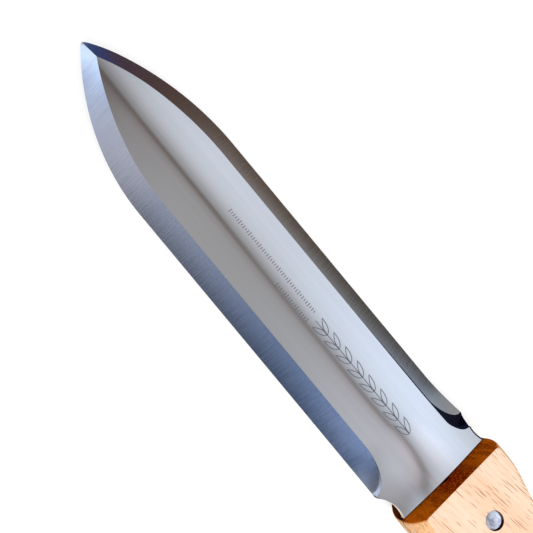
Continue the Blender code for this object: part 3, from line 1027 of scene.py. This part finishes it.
# How that changes along the knife, and how it does to the left of the gap
OVERHEAD_TINT = (
    (-0.42, (1.40, 1.42, 1.50)),
    (-0.3, (1.00, 1.06, 1.12)),
    (-0.2, (0.97, 1.01, 1.05)),
    (-0.1, (0.88, 0.90, 0.92)),
    (0.0, (0.83, 0.83, 0.83)),
    (0.15, (0.83, 0.83, 0.83)),
    (0.24, (0.74, 0.735, 0.73)),
    (0.35, (0.60, 0.585, 0.585)),
)
LEFT_TINT = (
    (-0.3, (1.22, 1.17, 1.20)),
    (-0.2, (1.10, 1.06, 1.08)),
    (-0.12, (1.0, 1.0, 1.0)),
    (0.12, (0.98, 0.98, 0.975)),
    (0.23, (0.88, 0.85, 0.85)),
    (0.35, (0.66, 0.62, 0.61)),
)
LEFT_OF_GAP = (1, -4)  # degrees from the gap's middle between which the left tint fades in
# The least that is reflected anywhere overhead, which sets how dark the gap is along the knife
GAP_FILL = (
    (-0.4, (0.32, 0.305, 0.31)),
    (-0.25, (0.31, 0.295, 0.29)),
    (-0.1, (0.26, 0.24, 0.235)),
    (0.05, (0.215, 0.185, 0.178)),
    (0.25, (0.19, 0.15, 0.14)),
    (0.36, (0.15, 0.12, 0.11)),
)
# Where the gap's middle is along the knife, in degrees from straight up
GAP_PATH = (
    (-0.5, 8.0),
    (-0.44, 6.4),
    (-0.40, 4.7),
    (-0.376, 3.6),
    (-0.336, 1.8),
    (-0.284, -0.6),
    (-0.25, -4.5),
    (-0.22, -5.6),
    (-0.15, -4.0),
    (-0.025, -2.6),
    (0.1, 0.2),
    (0.23, 2.2),
    (0.304, 4.0),
    (0.4, 6.0),
)
GAP_REACH = 10.0  # no stop of that path is further than this from straight up
# The studio's left side, along the knife
LEFT_SIDE = (
    (-1.0, (0.26, 0.34, 0.50)),
    (-0.27, (0.35, 0.45, 0.72)),
    (-0.23, (0.106, 0.188, 0.350)),
    (-0.15, (0.112, 0.165, 0.280)),
    (-0.03, (0.170, 0.214, 0.335)),
    (0.10, (0.275, 0.315, 0.40)),
    (0.21, (0.405, 0.41, 0.48)),
    (0.35, (0.58, 0.60, 0.68)),
    (0.5, (0.52, 0.56, 0.70)),
    (0.6, (0.62, 0.72, 0.93)),
    (0.68, (0.75, 0.95, 1.30)),
    (0.82, (1.19, 1.40, 1.68)),
    (0.9, (0.6, 0.68, 0.8)),
    (1.0, (0.5, 0.57, 0.68)),
)
# How bright that is across the knife, in degrees from straight up
LEFT_ACROSS = (
    (-80.0, 0.2),
    (-76.5, 0.36),
    (-73.5, 0.75),
    (-70.5, 1.45),
    (-67.5, 1.75),
    (-64.5, 1.1),
    (-61.0, 0.6),
    (-57.0, 0.45),
)
LEFT_PLAIN = (0.0, 0.5)  # towards the tip that change across dies away
# The studio's right side, along the knife and then across it
RIGHT_SIDE = (
    (-1.0, (0.34, 0.40, 0.52)),
    (-0.3, (0.17, 0.18, 0.21)),
    (-0.22, (0.105, 0.10, 0.10)),
    (-0.1, (0.11, 0.095, 0.08)),
    (0.1, (0.15, 0.11, 0.085)),
    (0.3, (0.10, 0.06, 0.045)),
    (0.52, (0.07, 0.04, 0.06)),
    (0.6, (0.035, 0.055, 0.17)),
    (0.8, (0.028, 0.067, 0.21)),
    (0.9, (0.26, 0.30, 0.38)),
    (1.0, (0.36, 0.40, 0.48)),
)
RIGHT_ACROSS = (
    (98.5, (3.0, 3.6, 4.2)),
    (100.5, (1.9, 2.2, 2.6)),
    (102.2, (1.05, 1.1, 1.15)),
    (104, (0.85, 0.8, 0.7)),
    (107, (0.7, 0.6, 0.42)),
)
RIGHT_PLAIN = (0.0, 0.3)
SIDE_TURN = (-0.02, 0.02)  # X parts of the ray between which the left side gives way to the right one
LEFT_TOP = (0.56, 0.68)  # Z parts of the ray between which a side gives way to the panels overhead
RIGHT_TOP = (0.235, 0.30)
BELOW = (-0.45, -0.8)  # and between which all that gives way to the colour underneath
UNDERSIDE = (0.34, 0.34, 0.36, 1)
PLAIN_LIGHT = 0.8  # strength of the white that lights the knife and stands behind it


def grey(stops):
    return [(place, [level] * 3) for place, level in stops]


def overhead_panels(nodes, axes, degrees):
    """Soft panels overhead, with a dark gap between them that leans from side to side along the knife."""
    path = [(along, 0.5 + turn / (2 * GAP_REACH)) for along, turn in GAP_PATH]
    turn = nodes.math("MULTIPLY_ADD", nodes.ramp(axes["Y"], grey(path)), 2 * GAP_REACH, -GAP_REACH)
    from_gap = nodes.math("SUBTRACT", degrees, turn)
    panels = nodes.product(nodes.ramp(from_gap, OVERHEAD), nodes.ramp(axes["Y"], OVERHEAD_TINT))
    left = nodes.mix(nodes.rise(from_gap, *LEFT_OF_GAP), WHITE, nodes.ramp(axes["Y"], LEFT_TINT))
    return nodes.vector("MAXIMUM", nodes.product(panels, left), nodes.ramp(axes["Y"], GAP_FILL))


def side_of_studio(nodes, axes, degrees, along, across, plain):
    """One side's colours along the knife, times how they change across it."""
    share = nodes.mix(nodes.rise(axes["Y"], *plain), nodes.ramp(degrees, across), WHITE)
    return nodes.product(nodes.ramp(axes["Y"], along), share)


def make_world():
    """A white studio for diffuse light, and soft panels with a dark gap between them for reflections."""
    world = bpy.data.worlds.new("studio")
    bpy.context.scene.world = world
    world.use_nodes = True
    world.node_tree.nodes.clear()
    nodes = Nodes(world.node_tree)
    axes = nodes.axes(nodes.add("ShaderNodeTexCoord").outputs["Generated"])
    angle = nodes.math("ARCTAN2", axes["X"], axes["Z"])
    degrees = nodes.math("MULTIPLY", angle, 180 / math.pi)
    left = side_of_studio(nodes, axes, degrees, LEFT_SIDE, grey(LEFT_ACROSS), LEFT_PLAIN)
    right = side_of_studio(nodes, axes, degrees, RIGHT_SIDE, RIGHT_ACROSS, RIGHT_PLAIN)
    on_right = nodes.rise(axes["X"], *SIDE_TURN)
    tops = {2: nodes.rise(axes["Z"], *LEFT_TOP), 3: nodes.rise(axes["Z"], *RIGHT_TOP)}
    up = nodes.add("ShaderNodeMix", {0: on_right, **tops}).outputs[0]
    studio = nodes.mix(up, nodes.mix(on_right, left, right), overhead_panels(nodes, axes, degrees))
    studio = nodes.mix(nodes.rise(axes["Z"], *BELOW), studio, UNDERSIDE)

    reflected = nodes.add("ShaderNodeLightPath").outputs["Is Glossy Ray"]
    glossy = nodes.add("ShaderNodeBackground", {"Color": studio, "Strength": 1.0}).outputs[0]
    plain = nodes.add("ShaderNodeBackground", {"Color": WHITE, "Strength": PLAIN_LIGHT}).outputs[0]
    seen = nodes.add("ShaderNodeMixShader", {0: reflected, 1: plain, 2: glossy})
    nodes.add("ShaderNodeOutputWorld", {"Surface": seen.outputs[0]})


# The key light, in metres and watts
KEY_PLACE = Vector((-0.25, -0.25, 0.7))
KEY_AIM = Vector((0, 0.1, 0))
KEY_SIZE = 0.5
KEY_POWER = 6.0


def make_key_light():
    """A soft light that shapes the wood and casts the shadow. Steel doesn't reflect it."""
    light = bpy.data.lights.new("key_light", "AREA")
    light.shape = "DISK"
    light.size = KEY_SIZE
    light.energy = KEY_POWER
    made = new_object("key_light", light)
    made.location = KEY_PLACE
    made.rotation_euler = (KEY_AIM - KEY_PLACE).to_track_quat("-Z", "Y").to_euler()
    made.visible_glossy = False
    made.visible_camera = False


# The camera looks forward at its aim, with its own right-hand direction setting how it is rolled.
CAMERA_AIM = Vector((-0.5, 153.5, TANG_Z))
CAMERA_DISTANCE = 251.9
CAMERA_FORWARD = Vector((0.2652, -0.0115, -0.9641))
CAMERA_RIGHT = Vector((0.7401, -0.6385, 0.2111))
CAMERA_LENS = 52.3
SENSOR = 36.0


def make_camera():
    """The knife seen from its left, rolled so that its tip points to the upper left."""
    data = bpy.data.cameras.new("camera")
    data.lens = CAMERA_LENS
    data.sensor_width = SENSOR
    data.clip_start = 0.01
    camera = new_object("camera", data)
    forward = CAMERA_FORWARD.normalized()
    right = (CAMERA_RIGHT - forward * CAMERA_RIGHT.dot(forward)).normalized()
    up = right.cross(forward)
    turn = Matrix((right, up, -forward)).transposed().to_4x4()
    place = (CAMERA_AIM - forward * CAMERA_DISTANCE) * MM
    camera.matrix_world = Matrix.Translation(place) @ turn
    bpy.context.scene.camera = camera


def main():
    rivet_ys = []
    for place in ("front", "rear"):
        low, high = box_mm(place + "_rivet_pin")
        rivet_ys.append((low.y + high.y) / 2)
    make_blade(rivet_ys)
    make_engraving()
    make_handle(rivet_ys)
    make_floor()
    make_world()
    make_key_light()
    make_camera()
    bpy.context.scene.view_settings.view_transform = "Standard"


main()
bpy.context.view_layer.update()
